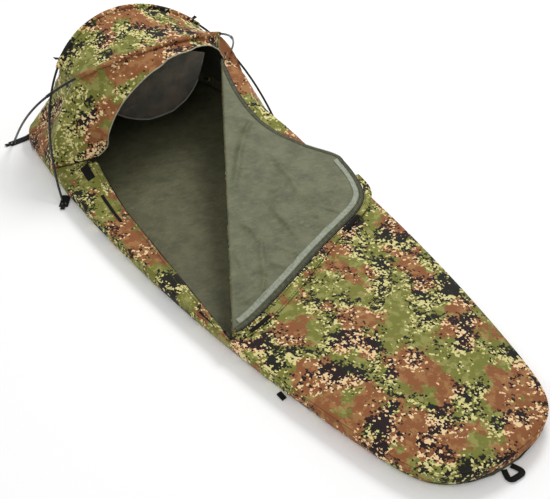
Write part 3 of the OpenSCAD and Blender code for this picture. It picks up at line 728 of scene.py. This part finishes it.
def zip_flap_grid():
    y = np.linspace(FOOT[1] + 0.002, ZIP_TOP, 220)
    s = np.linspace(0, 1, 8)
    wave = 0.0022 * ripple(y[:, None], 9, 4, 2)
    x = zip_x(y)[:, None] + 0.0005 + s[None] * (0.0148 + wave[:, None])
    yy = np.repeat(y[:, None], 8, 1)
    puff = (0.0034 * np.sin(math.pi * s) ** 0.6)[None] * (1 + 0.5 * ripple(np.stack([x, yy], -1), (20, 18), 6))
    return np.stack([x, yy, zip_z(yy) + 0.0012 + puff], -1)


ZIP_FLAP = cloth("side_zip_tape", zip_flap_grid()[::-1], ["camo_sewn", "zip_tape"], nodes="bag_zip_tape",
                 t=0.0009, lengthwise=True)
teeth("side_zip_teeth", spaced(along_zip(-0.0005, 0.0161), 380), (0, 0, 1), (0.0017, 0.0046, 0.0032), BAG,
      "bag_zip_coil")

RIM_STRIPS = ((-0.268, 0.042, 0.25, 0.80), (0.395, 0.085, 0.65, 0.77), (0.616, 0.038, 0.60, 0.85))
for k, (at, half, low, high) in enumerate(RIM_STRIPS):
    y = np.linspace(at + half, at - half, 24)
    s = np.linspace(low, high, 5)
    x = mix(-half_w(y)[:, None], zip_x(y)[:, None], s[None])
    yy = np.repeat(y[:, None], 5, 1)
    strip = np.stack([x, yy, border_z(x, yy) + 0.0052], -1)
    cloth(f"border_hook_strip_{k + 1}", strip, ["hook"], BAG, "rim_hook_strips" if k == 0 else (),
          t=0.0014)


# ---------- piping and small webbing ----------

def piping_line():
    loop = outline(760, inset=-0.0026)
    line = np.concatenate([loop, np.full((len(loop), 1), WALL - 0.001)], -1)
    keep_right = (line[:, 0] > 0) & (line[:, 1] < 0.60)
    keep_left = (line[:, 0] <= 0) & (line[:, 1] < FOOT[1])
    return drawn_in(np.concatenate([line[keep_left], line[keep_right]]))


tube("cover_piping", piping_line(), 0.0024, "camo", nodes="seam_piping")

left_seam = [(-half_w(v) - 0.0012, v, WALL + 0.0016) for v in np.linspace(FOOT[1], BORDER_END, 90)]
tube("border_piping", left_seam, 0.0019, "camo")

for side, name in ((-1, "left"), (1, "right")):
    y = -0.606
    x0 = side * (half_w(y) - 0.001)
    line = [(x0, y, 0.0045), (x0 + side * 0.008, y - 0.001, 0.0048), (x0 + side * 0.0145, y - 0.002, 0.0046),
            (x0 + side * 0.0156, y - 0.002, 0.0032), (x0 + side * 0.0145, y - 0.002, 0.0018),
            (x0 + side * 0.008, y - 0.001, 0.0016), (x0, y, 0.0018)]
    line = spaced(through(line, 6), 30)
    webbing(f"side_tab_{name}_loop", line, (0, 1, 0), 0.028, f"side_tab_{name}", 0.0012)


def toe_loop():
    path = through([(-0.013, -1.1585, 0.0052), (-0.019, -1.172, 0.0050), (-0.0235, -1.186, 0.0048),
                    (-0.018, -1.1945, 0.0056), (0.0, -1.196, 0.0058), (0.018, -1.1945, 0.0056),
                    (0.0235, -1.186, 0.0048), (0.019, -1.172, 0.0050), (0.013, -1.1585, 0.0052)], 8)
    line = spaced(path, 60)
    across = unit(np.cross(tangents(line), (0, 0, 1)))
    webbing("toe_loop_webbing", line, across, 0.017, "toe_peg_loop", 0.0017, LOOP)


toe_loop()


# ---------- hoops ----------

FRONT = (0.457, 1.075, math.radians(-40.85), 0.601, 0.166, 0.637)
REAR = (0.466, 0.595, math.radians(38.6), 0.616, 0.147, 1.274)
SLEEVE_FROM = 54.0
INSET = 0.0072


def hoop_pt(hoop, angle, inset=0.0):
    width, y0, lean, height, belly, square = hoop
    a = np.radians(np.asarray(angle, float))
    s = np.clip(np.sin(a), 0, None)
    r = (height - inset) * s ** square
    return np.stack([(width - inset) * np.cos(a) * (1 + belly * s * s), y0 + r * math.sin(lean),
                     r * math.cos(lean)], -1)


def angle_at(hoop, z):
    return math.degrees(math.asin((z / (hoop[3] * math.cos(hoop[2]))) ** (1 / hoop[5])))


for hoop, name in ((FRONT, "front"), (REAR, "rear")):
    square_on = (0, math.cos(hoop[2]), -math.sin(hoop[2]))
    low = angle_at(hoop, 0.0095)
    whole = hoop_pt(hoop, np.linspace(low, 180 - low, 1400))
    tube(f"{name}_pole_tube", spaced(whole, 200), 0.00425, "pole", BAG, f"{name}_pole", 14,
         square_on)
    tube(f"{name}_pole_core", spaced(whole, 120)[1:-1], 0.0014, "cord", BAG, f"{name}_pole_cord",
         6, square_on)
    for k, at in enumerate((38, 90, 142)):
        arc = hoop_pt(hoop, np.linspace(at - 2.5, at + 2.5, 14))
        r = np.full(14, 0.0056)
        r[[0, -1]] = 0.0045
        r[[1, -2]] = 0.0054
        tube(f"{name}_ferrule_{k + 1}", arc, r, "ferrule", nodes=f"{name}_pole_ferrules" if k == 0 else (),
             sides=14, side=square_on)
    angle = np.linspace(SLEEVE_FROM, 180 - SLEEVE_FROM, 130)
    line = hoop_pt(hoop, angle)
    wobble = 0.0082 + 0.0006 * ripple(np.stack([angle / 30, angle * 0], -1), 5, 3, 2)
    wobble[[0, -1]] = 0.0066
    tube(f"{name}_sleeve_cloth", line, wobble, "camo", nodes=f"{name}_sleeve", sides=16, side=square_on)


# ---------- corner straps ----------

STRAP_W = 0.032


def strap(name, start, foot, nodes):
    """Webbing from under the bag's edge to a pole foot, with its end folded back on itself."""
    start, foot = np.array(start, float), np.array(foot, float)
    way = unit(foot - start)
    reach = float(np.linalg.norm(foot - start))
    across = np.array([-way[1], way[0], 0.0])
    top = [(-0.018, 0.010), (-0.004, 0.0062), (0.012, 0.0034), (reach - 0.01, 0.0030), (reach + 0.014, 0.0031),
           (reach + 0.020, 0.0042), (reach + 0.031, 0.0062), (reach + 0.0335, 0.0044), (reach + 0.031, 0.0022),
           (reach + 0.020, 0.0020)]
    line = spaced(through([(start[0] + way[0] * a, start[1] + way[1] * a, z) for a, z in top], 8), 70)
    at = lengths(line)
    narrow = np.where(at > at[-1] - 0.034, 0.48, 1.0)
    webbing(name, line, across, STRAP_W, nodes, 0.0017, cols=7, narrow=narrow)


FRONT_STRAP = (float(half_w(0.62)) + 0.0135, 0.616)
REAR_STRAP = (float(half_w(1.075)) + 0.014, 1.080)
for side, name in ((-1, "left"), (1, "right")):
    strap(f"strap_front_{name}_webbing", (side * FRONT_STRAP[0], FRONT_STRAP[1]), (side * REAR[0], REAR[1]),
          f"strap_front_{name}")
    strap(f"strap_rear_{name}_webbing", (side * REAR_STRAP[0], REAR_STRAP[1]), (side * FRONT[0], FRONT[1]),
          f"strap_rear_{name}")


# ---------- hood ----------

SIDE, ARC = 30, 60
COLS = 2 * SIDE + ARC
HOOD_FOOT = WALL - 0.003
HEART = np.array([0, 0.83, 0.15])


def side_curve(foot, top, bend, t):
    t = t[:, None]
    return foot * (1 - t) ** 2 + np.asarray(bend) * 2 * t * (1 - t) + top * t * t


def hood_arch(hoop, foot, bend):
    """One arch of hood cloth, from its right foot to its left: up to the sleeve, over, and down."""
    flip = np.array([-1, 1, 1])
    rise = np.linspace(0, 1, SIDE, endpoint=False)
    right = side_curve(np.array(foot, float), hoop_pt(hoop, SLEEVE_FROM, INSET), np.array(bend), rise)
    left = side_curve(foot * flip, hoop_pt(hoop, 180 - SLEEVE_FROM, INSET), bend * flip, rise)[::-1]
    over = hoop_pt(hoop, np.linspace(SLEEVE_FROM, 180 - SLEEVE_FROM, ARC + 1), INSET)
    return np.concatenate([right, over, left])


def on_walls(grid, ends=(0, -1), cols=9):
    """Bring the feet of the hood's rows down over the top edge of the walls."""
    weight = smooth(cols, 0, np.arange(cols))
    for end in ends:
        foot = grid[:, end].copy()
        on = foot.copy()
        on[:, 0] = np.sign(foot[:, 0]) * (half_w(foot[:, 1]) + 0.0010)
        on[:, 2] = HOOD_FOOT
        part = grid[:, :cols] if end == 0 else grid[:, ::-1][:, :cols]
        part += weight[None, :, None] * (on - foot)[:, None]
    return grid


front_arch = hood_arch(FRONT, (half_w(0.745) + 0.001, 0.745, HOOD_FOOT), (0.395, 0.7417, 0.290))
rear_arch = hood_arch(REAR, (half_w(1.022) + 0.001, 1.022, HOOD_FOOT), (0.262, 0.905, 0.150))
rim_curve = through([
    (0.428, 0.736, HOOD_FOOT), (0.375, 0.734, 0.190), (0.306, 0.730, 0.296), (0.268, 0.704, 0.350),
    (0.205, 0.668, 0.402), (0.110, 0.626, 0.432), (0, 0.603, 0.434), (-0.110, 0.602, 0.386),
    (-0.200, 0.612, 0.300), (-0.246, 0.626, 0.205), (-0.252, 0.643, 0.142), (-0.288, 0.652, 0.110)], 12)


rim_arch = pick(rim_curve, np.linspace(0, 1, COLS + 1) * (len(rim_curve) - 1))


def rows_between(a, b, n, sag, wrinkle, seed, free_start=False):
    """Rows of cloth between two arches, sagging in between, with folds that die out at the seams."""
    t = np.linspace(0, 1, n + 1)[:, None, None]
    p = mix(a[None], b[None], t)
    p = p + sag * 4 * t * (1 - t) * unit(HEART - p)
    normal = grid_normals(p)
    normal = normal * np.sign((normal * (p - HEART)).sum())
    s = np.broadcast_to(lengths(a)[None], p.shape[:2])
    gap = np.linalg.norm(b - a, axis=1)[None]
    q = np.stack([s, t[..., 0] * gap], -1)
    hold = np.sin(math.pi / 2 * (1 - t[..., 0])) ** 0.5 if free_start else np.sin(math.pi * t[..., 0]) ** 0.6
    roomy = np.clip(gap / 0.09, 0, 1)
    long_folds = 0.0050 * ripple(q, (13, 5), seed, 2) + 0.0048 * ripple(q, (4.5, 14), seed + 3, 2)
    long_folds += 0.004 * crease(slanted(q, 0.85, 0.5, -0.5, 0.85), (6, 3), seed + 5, 5)
    gathers = 0.0028 * ripple(q, (48, 3), seed + 9) * np.maximum(smooth(0.07, 0.0, q[..., 1]),
                                                               smooth(0.07, 0.0, gap - q[..., 1]))
    gathers *= np.clip(np.sin(math.pi * np.clip(t[..., 0], 0.02, 0.98)) * 3, 0, 1)
    amount = (long_folds * roomy * hold + gathers) * wrinkle
    return p + normal * amount[..., None]


visor = rows_between(rim_arch, front_arch, 26, 0.004, 1.15, 3, free_start=True)


def rest_on_border(grid, cols=16):
    """Bring the visor's left end down on the border in a rounded lobe."""
    lobe = spaced(through([(-0.288, 0.652, 0.110), (-0.322, 0.672, 0.0985), (-0.358, 0.698, 0.082),
                           (-0.398, 0.725, 0.068), tuple(grid[-1, -1])], 8), grid.shape[0])
    weight = smooth(0, 1, np.linspace(0, 1, cols)) ** 1.4
    grid[:, -cols:] += weight[None, :, None] * (lobe - grid[:, -1])[:, None]
    return grid


def hood_panel(part, grid):
    panel = cloth(f"hood_{part}_cloth", grid, ["camo", "hood_lining_painted_shade"], heart=HEART, nodes=f"hood_{part}")


visor = on_walls(rest_on_border(visor), (0,))
hood_panel("visor", visor)
main = on_walls(rows_between(front_arch, rear_arch, 44, 0.010, 1.3, 14))
hood_panel("roof", main[:, SIDE:SIDE + ARC + 1])
hood_panel("side_right", main[:, :SIDE + 1])
hood_panel("side_left", main[:, SIDE + ARC:])


def tail_arch(foot_x, foot_y, top_y, top_z, square):
    a = np.radians(np.linspace(0, 180, COLS + 1))
    s = np.clip(np.sin(a), 0, None)
    f = s ** square
    return np.stack([foot_x * np.cos(a), mix(foot_y, top_y, f), mix(HOOD_FOOT, top_z, f)], -1)


def head_arch(foot_x, beyond):
    """The line of the hood's lowest edge, along the top of the head wall."""
    x = foot_x * np.cos(np.linspace(0, math.pi, COLS + 1))
    y = HALF * (1 - (x / full_w(1.1)) ** 2) ** (1 / 24) + beyond
    return np.stack([x, y, np.full_like(x, HOOD_FOOT)], -1)


middle = tail_arch(half_w(1.082) + 0.001, 1.082, 1.098, 0.250, 2.1)
low_tail = head_arch(0.342, 0.0012)
upper_rear = on_walls(rows_between(rear_arch, middle, 24, 0.004, 1.0, 25))
lower_rear = rows_between(middle, low_tail, 20, -0.002, 0.9, 31)
lower_rear += smooth(0.6, 1.0, np.linspace(0, 1, 21))[:, None, None] * (low_tail - lower_rear[-1])[None]
rear = np.concatenate([upper_rear, on_walls(lower_rear)[1:]])
hood_panel("rear", rear)

tube("rim_binding_tape", spaced(visor[0][4:], 150), 0.0023, "binding", BAG, "rim_binding",
     side=(0, 1, 0))

for side, name in ((-1, "left"), (1, "right")):
    tip = np.array([side * (REAR_STRAP[0] - 0.004), REAR_STRAP[1], 0.006])
    low = np.array([side * (half_w(0.985) + 0.004), 0.985, 0.003])
    high = np.array([side * (half_w(1.0) + 0.001), 1.0, 0.056])
    rows = []
    for t in np.linspace(0, 1, 14):
        a, b = mix(low, tip, t), mix(high, tip + (0, 0, 0.004), t)
        row = mix(a[None], b[None], np.linspace(0, 1, 9)[:, None])
        row[:, 0] += side * (0.004 * np.sin(np.linspace(0, math.pi, 9)) * math.sin(math.pi * t)
                             + 0.0012 * ripple(np.stack([row[:, 1], row[:, 2]], -1), 60, 5))
        rows.append(row)
    cloth(f"corner_gusset_{name}_cloth", rows, ["camo"], out=(side, 0.4, 0.2), nodes=f"corner_gusset_{name}")
    at = hoop_pt(REAR, SLEEVE_FROM + 3, -0.015) * (side, 1, 1)
    out = unit(np.array([side * 0.75, 0.1, 0.25]))
    loop = through([at + out * far + (0, 0, up) for far, up in (
        (-0.010, 0), (0.002, 0), (0.009, 0.001), (0.0105, -0.001), (0.009, -0.003), (0, -0.002),
        (-0.010, -0.0015))], 6)
    webbing(f"guy_tab_{name}_loop", spaced(loop, 30), (0, 1, 0), 0.016, f"guy_tab_{name}", 0.0010)


# ---------- door ----------

# Creases in the folded door: where each runs from and to, its height and its width.
CREASES = (
    (0.560, 0.000, 0.859, 0.063, 0.0100, 0.012), (0.859, 0.063, 1.060, 0.125, 0.0085, 0.012),
    (0.420, 0.080, 0.290, 0.200, -0.0060, 0.007), (0.355, 0.004, 0.255, 0.034, 0.0060, 0.009),
    (0.500, 0.270, 0.522, 0.375, -0.0050, 0.008), (0.400, 0.110, 0.135, 0.090, 0.0050, 0.008),
    (0.240, 0.055, 0.230, 0.135, -0.0045, 0.006), (0.100, 0.000, 0.150, 0.070, 0.0045, 0.007),
    (0.660, 0.250, 0.445, 0.320, 0.0050, 0.014), (0.790, 0.170, 0.580, 0.255, 0.0055, 0.013),
    (0.560, 0.130, 0.400, 0.240, 0.0050, 0.012), (0.455, 0.030, 0.370, 0.112, 0.0050, 0.009),
    (0.330, 0.240, 0.375, 0.150, 0.0040, 0.006), (0.270, 0.200, 0.300, 0.110, 0.0036, 0.006),
    (0.540, 0.400, 0.575, 0.300, 0.0040, 0.008), (0.690, 0.440, 0.640, 0.330, 0.0036, 0.009))
CREASE_GAIN = 1.9


def door_height(u, v):
    """Height of the folded door's cloth above its plane."""
    q = np.stack([u, v], -1)
    q = q + 0.010 * np.stack([ripple(q, 9, 61, 2), ripple(q, 9, 62, 2)], -1)
    body = smooth(0, 0.045, v) * smooth(0.030, 0.085, edge_out(u) - v)
    ease = 0.25 + 0.75 * smooth(0, 0.06, edge_out(u) - v)
    h = 0.0075 * ripple(q, (4.2, 5.2), 8, 2)
    h += 0.0034 * ripple(slanted(q, 0.8, 0.6, -0.6, 0.8), (15, 6.5), 17, 2)
    h += 0.0010 * ripple(q, (34, 22), 19, 2)
    for u0, v0, u1, v1, high, wide in CREASES:
        way = np.array([u1 - u0, v1 - v0])
        long = np.hypot(*way)
        way = way / long
        along = (q[..., 0] - u0) * way[0] + (q[..., 1] - v0) * way[1]
        off = (q[..., 1] - v0) * way[0] - (q[..., 0] - u0) * way[1]
        ends = smooth(-0.02, 0.04, along) * smooth(-0.02, 0.05, long - along)
        h += CREASE_GAIN * high * ends * np.exp(-np.abs(off / max(0.9 * wide, 0.0105)) ** 1.6)
    fine = crease(slanted(q, 0.55, 0.83, -0.83, 0.55), (5, 2.3), 51, 6)
    h += 0.0030 * fine * smooth(-0.2, 0.4, ripple(q, 4, 2))
    return 0.0056 + np.maximum(h + 0.0022, -0.0014) * body * ease


def on_door(uv, lift):
    """Points on the folded door's cloth, raised by lift."""
    u, v = uv[:, 0], uv[:, 1]
    return in_door(u, v, door_height(u, v) + lift)


EDGE_N = tangents(EDGE)[:, ::-1] * (-1, 1)
EDGE_N *= np.where((EDGE_N @ np.array([-0.1, 1.0]))[:, None] > 0, 1, -1)


def inset_edge(d, low=0.0):
    """The door's edge moved in by d, kept above the fold."""
    line = EDGE - d * EDGE_N
    line[:, 1] = np.maximum(line[:, 1], low)
    return line


def door_band(name, from_d, to_d, lift, mats, nodes, first=0, last=None, cols=4, t=0.0008, low=0.001):
    """A band that runs along the door's free edge between two insets."""
    rows = []
    for d in np.linspace(from_d, to_d, cols):
        rows.append(on_door(inset_edge(d, low)[first:last], lift))
    grid = np.array(rows).transpose(1, 0, 2)
    s = np.repeat(lengths(EDGE[first:last])[:, None], cols, 1)
    v = np.repeat(np.abs(np.linspace(from_d, to_d, cols) - from_d)[None], len(s), 0)
    return cloth(name, grid, mats, DOOR, nodes, t, out=UP, uvs=np.stack([s, v], -1))


FOLD_R = 0.0054


def door_grid():
    outer = inset_edge(0.0165, 0.0008)
    fold = round_fold(FOLD_R, [206, 193, 180, 160, 140, 120, 103])
    share = np.linspace(0, 1, 64)
    grid = np.zeros((len(outer), len(fold) + len(share), 3))
    for i, (u, v) in enumerate(outer):
        grid[i, :len(fold)] = FOOT + u * ALONG + fold
        vs = share * v
        us = np.full_like(vs, u)
        grid[i, len(fold):] = in_door(us, vs, np.maximum(door_height(us, vs), FOLD_R))
    return grid


door = door_grid()
DOOR_CLOTH = cloth("door_panel", door, ["lining", "camo"], DOOR, "door_flap", out=UP)

last_tape = int(np.argmin(np.abs(EDGE[:, 0] - 0.835)))
door_band("door_zip_tape_band", 0.0045, 0.0180, 0.0008, ["zip_tape"], "door_zip_tape", 2, -2)
door_band("door_seam_tape_band", 0.0192, 0.0405, 0.0014, ["seam_tape"], "door_seam_tape", 6,
          last_tape, cols=6, t=0.0006, low=0.006)
teeth("door_zip_teeth", on_door(spaced(inset_edge(0.0026, 0.0008)[1:-1], 640), -0.0006), UP,
      (0.0016, 0.0044, 0.0030), DOOR, "door_zip_coil")


STORM_WIDTHS = (0.030, 0.036, 0.042, 0.036, 0.028, 0.022, 0.020, 0.020, 0.022, 0.028, 0.030, 0.014)


def beyond_edge(i, d):
    t = unit(EDGE_PTS[i + 1] - EDGE_PTS[max(i - 1, 0)])
    return EDGE_PTS[i] + d * np.array([-t[1], t[0]])


STEPS = 12
storm_inner = through([beyond_edge(i, 0.0010) for i in range(len(STORM_WIDTHS))], STEPS)
storm_outer = through([beyond_edge(i, w) for i, w in enumerate(STORM_WIDTHS)], STEPS)


def on_storm(row, share, lift):
    """A point of the storm strip: row counts the edge's points, and share goes out from the door's edge."""
    k = row * STEPS
    at = mix(pick(storm_inner, k), pick(storm_outer, k), share[..., None])
    wave = 0.0016 * (0.4 + share) * ripple(at, 24, 4, 2)
    p = in_door(at[..., 0], at[..., 1], 0.0050 + wave)
    p[..., 2] = np.maximum(p[..., 2], TOP + 0.0050 + wave)
    return p + lift * UP


rows, shares = np.meshgrid(np.linspace(0.16, len(STORM_WIDTHS) - 1, 150), np.linspace(0, 1, 12), indexing="ij")
strip = on_storm(rows, shares, 0.0)
edge_in = np.minimum(shares, 1 - shares) * 0.03
STORM = cloth("storm_strip_cloth", strip, ["camo_sewn", "camo"], DOOR, "door_storm_strip", out=UP,
              uvs=np.stack([rows * 0.085, edge_in], -1))

for k, (first, last, low, high) in enumerate(((0.80, 1.73, 0.44, 0.84), (5.6, 6.83, 0.22, 0.86))):
    rows, shares = np.meshgrid(np.linspace(first, last, 20), np.linspace(low, high, 5), indexing="ij")
    cloth(f"storm_hook_strip_{k + 1}", on_storm(rows, shares, 0.0018), ["hook"], DOOR,
          "door_hook_strips" if k == 0 else (), out=UP, t=0.0012)


# ---------- insect net ----------

NET_HALF = 0.19


def net_pt(s, t):
    top = 0.424 - np.where(s > 0, 0.045, 0.130) * s * s
    low = 0.136 + np.where(s > 0, 0.104 * np.abs(s) ** 3, 0.100 * s * s)
    return np.stack([NET_HALF * s, 0.668 + 0.062 * t, mix(top, low, t)], -1)


ss, tt = np.meshgrid(np.linspace(-1, 1, 61), np.linspace(0, 1, 34))
net = net_pt(ss, tt)
q = np.stack([ss * NET_HALF, tt * 0.25], -1)
waves = 0.006 * ripple(q, (14, 4), 5, 2) + 0.003 * ripple(q, (30, 8), 15)
net[..., 1] += waves * tt * (1 - ss ** 6) - 0.004 * np.sin(math.pi * tt)
NET_CLOTH = cloth("insect_net_cloth", net, ["net"], NET, "insect_net", t=0.0005,
                  out=(0, -1, 0))
tube("net_binding_cord", spaced(net[-1] + (0, 0, -0.0012), 90), 0.0024, "grey_binding", NET, "net_binding",
     side=(0, 1, 0))


# ---------- CAD parts that stay ----------

for node, mat in (("eyelets", "eyelet"), ("zip_slider", "zip_metal"), ("zip_pull", "zip_metal"),
                  ("front_pole_tips", "plastic"), ("rear_pole_tips", "plastic")):
    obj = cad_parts[node]
    for slot in obj.material_slots:
        slot.material = M[mat]
    if not obj.material_slots:
        obj.data.materials.append(M[mat])


# ---------- studio floor ----------

ground = bpy.data.meshes.new("studio_floor")
corners = [(14 * x, 14 * y, -0.0006) for x, y in ((-1, -1), (1, -1), (1, 1), (-1, 1))]
ground.from_pydata(corners, [], [(0, 1, 2, 3)])
stage = bpy.data.objects.new("studio_floor", ground)
bpy.context.scene.collection.objects.link(stage)
pale = Material("studio_floor_paint", (0.94, 0.94, 0.94, 1), 0.9, Specular_IOR_Level=0.0,
                Emission_Strength=0.07)
pale.set("Emission Color", (1, 1, 1, 1))
ground.materials.append(pale.mat)
